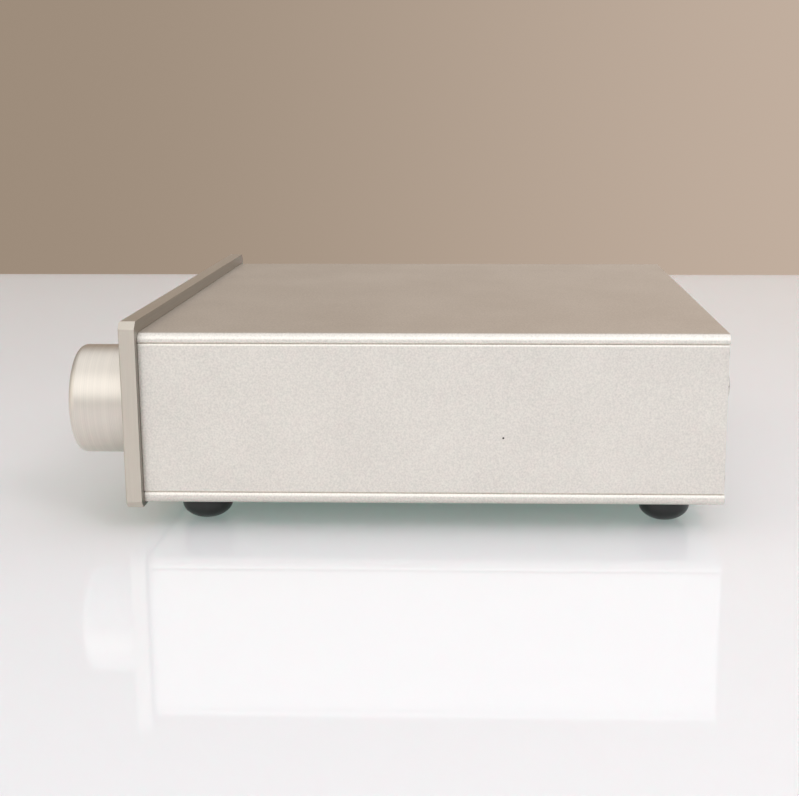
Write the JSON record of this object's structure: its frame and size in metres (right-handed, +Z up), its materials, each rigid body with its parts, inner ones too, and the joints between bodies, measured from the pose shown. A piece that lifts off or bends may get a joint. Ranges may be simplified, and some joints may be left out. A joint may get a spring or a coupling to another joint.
{
  "type": "digital-to-analog converter",
  "caption": "Desktop audio converter in a low extruded aluminium case on domed rubber feet, with a thick front panel, a turned volume knob and sockets at the rear.",
  "frame": {"origin": "on the floor under the middle of the overall box", "axes": "+X to the right seen from the front, +Y to the rear, +Z up"},
  "size_m": [0.2064, 0.2252, 0.0702],
  "materials": {
    "blasted_aluminium": "bead blasted and clear anodised",
    "brushed_aluminium": "brushed and clear anodised",
    "rear_plate": "satin anodised",
    "turned_aluminium": "fine turned, satin",
    "foot_rubber": "smooth moulded",
    "black_steel": "black oxide",
    "zinc_steel": "zinc plated",
    "pot_casting": "die cast",
    "phenolic": "pressed laminate",
    "switch_plastic": "moulded, fine texture",
    "plunger_plastic": "moulded",
    "lamp_resin": "clear cast resin",
    "circuit_board": "solder mask on glass fibre",
    "brass_posts": "turned",
    "nickel": "nickel plated",
    "gold_plate": "gold plated",
    "sleeve_black": "moulded",
    "sleeve_red": "moulded",
    "sleeve_white": "moulded",
    "capacitor_can": "sleeved can",
    "sink_aluminium": "black anodised",
    "chip_resin": "moulded epoxy",
    "ribbon": "extruded flat cable",
    "winding_tape": "taped winding on a steel core",
    "pad_rubber": "sheet",
    "mains_wire": "extruded insulation",
    "signal_wire": "extruded insulation"
  },
  "bodies": {
    "case": {"front_panel": "brushed_aluminium", "top_cover": "blasted_aluminium", "bottom_cover": "blasted_aluminium", "left_side_panel": "blasted_aluminium", "right_side_panel": "blasted_aluminium", "rear_panel": "rear_plate", "front_panel_screws": "black_steel", "rear_panel_screws": "black_steel", "foot_front_left": "foot_rubber", "foot_front_right": "foot_rubber", "foot_rear_left": "foot_rubber", "foot_rear_right": "foot_rubber", "pot_housing": "pot_casting", "pot_track": "phenolic", "pot_washer": "zinc_steel", "pot_nut": "zinc_steel", "power_switch": "switch_plastic", "select_switch": "switch_plastic", "indicators": "lamp_resin", "front_board": "circuit_board", "front_board_posts": "brass_posts", "front_board_screws": "zinc_steel", "headphone_socket": "switch_plastic", "headphone_nut": "nickel", "main_board": "circuit_board", "board_standoffs": "brass_posts", "board_screws": "zinc_steel", "filter_capacitors": "capacitor_can", "heatsink": "sink_aluminium", "regulators": "chip_resin", "board_chips": "chip_resin", "ribbon_plugs": "plunger_plastic", "ribbon_cable": "ribbon", "transformer": "winding_tape", "transformer_pads": "pad_rubber", "transformer_plate": "zinc_steel", "transformer_stud": "zinc_steel", "transformer_nut": "zinc_steel", "line_socket_shells": "nickel", "coax_sleeve": "sleeve_black", "right_sleeve": "sleeve_red", "left_sleeve": "sleeve_white", "line_contacts": "gold_plate", "line_socket_nuts": "zinc_steel", "usb_shell": "nickel", "usb_tongue": "plunger_plastic", "optical_socket": "switch_plastic", "mains_inlet": "switch_plastic", "mains_blades": "nickel", "inlet_screws": "black_steel", "inlet_nuts": "zinc_steel", "mains_leads": "mains_wire", "signal_leads": "signal_wire"},
    "volume": {"volume_knob": "turned_aluminium", "knob_set_screw": "black_steel", "pot_shaft": "zinc_steel", "pot_rotor": "phenolic"},
    "power_button": {"power_button": "turned_aluminium", "power_plunger": "plunger_plastic"},
    "select_button": {"select_button": "turned_aluminium"}
  },
  "joints": [
    {"name": "volume_turn", "type": "hinge", "parent": "case", "child": "volume", "pos_m": [0.0752, -0.1026, 0.03975], "axis": [0, 1, 0], "range_deg": [-150, 150]},
    {"name": "power_press", "type": "slide", "parent": "case", "child": "power_button", "axis": [0, 1, 0], "range_m": [0, 0.0025], "stiffness_N_per_m": 400, "springref_m": -0.004},
    {"name": "select_press", "type": "slide", "parent": "case", "child": "select_button", "axis": [0, 1, 0], "range_m": [0, 0.0005], "stiffness_N_per_m": 1500, "springref_m": -0.0006}
  ]
}
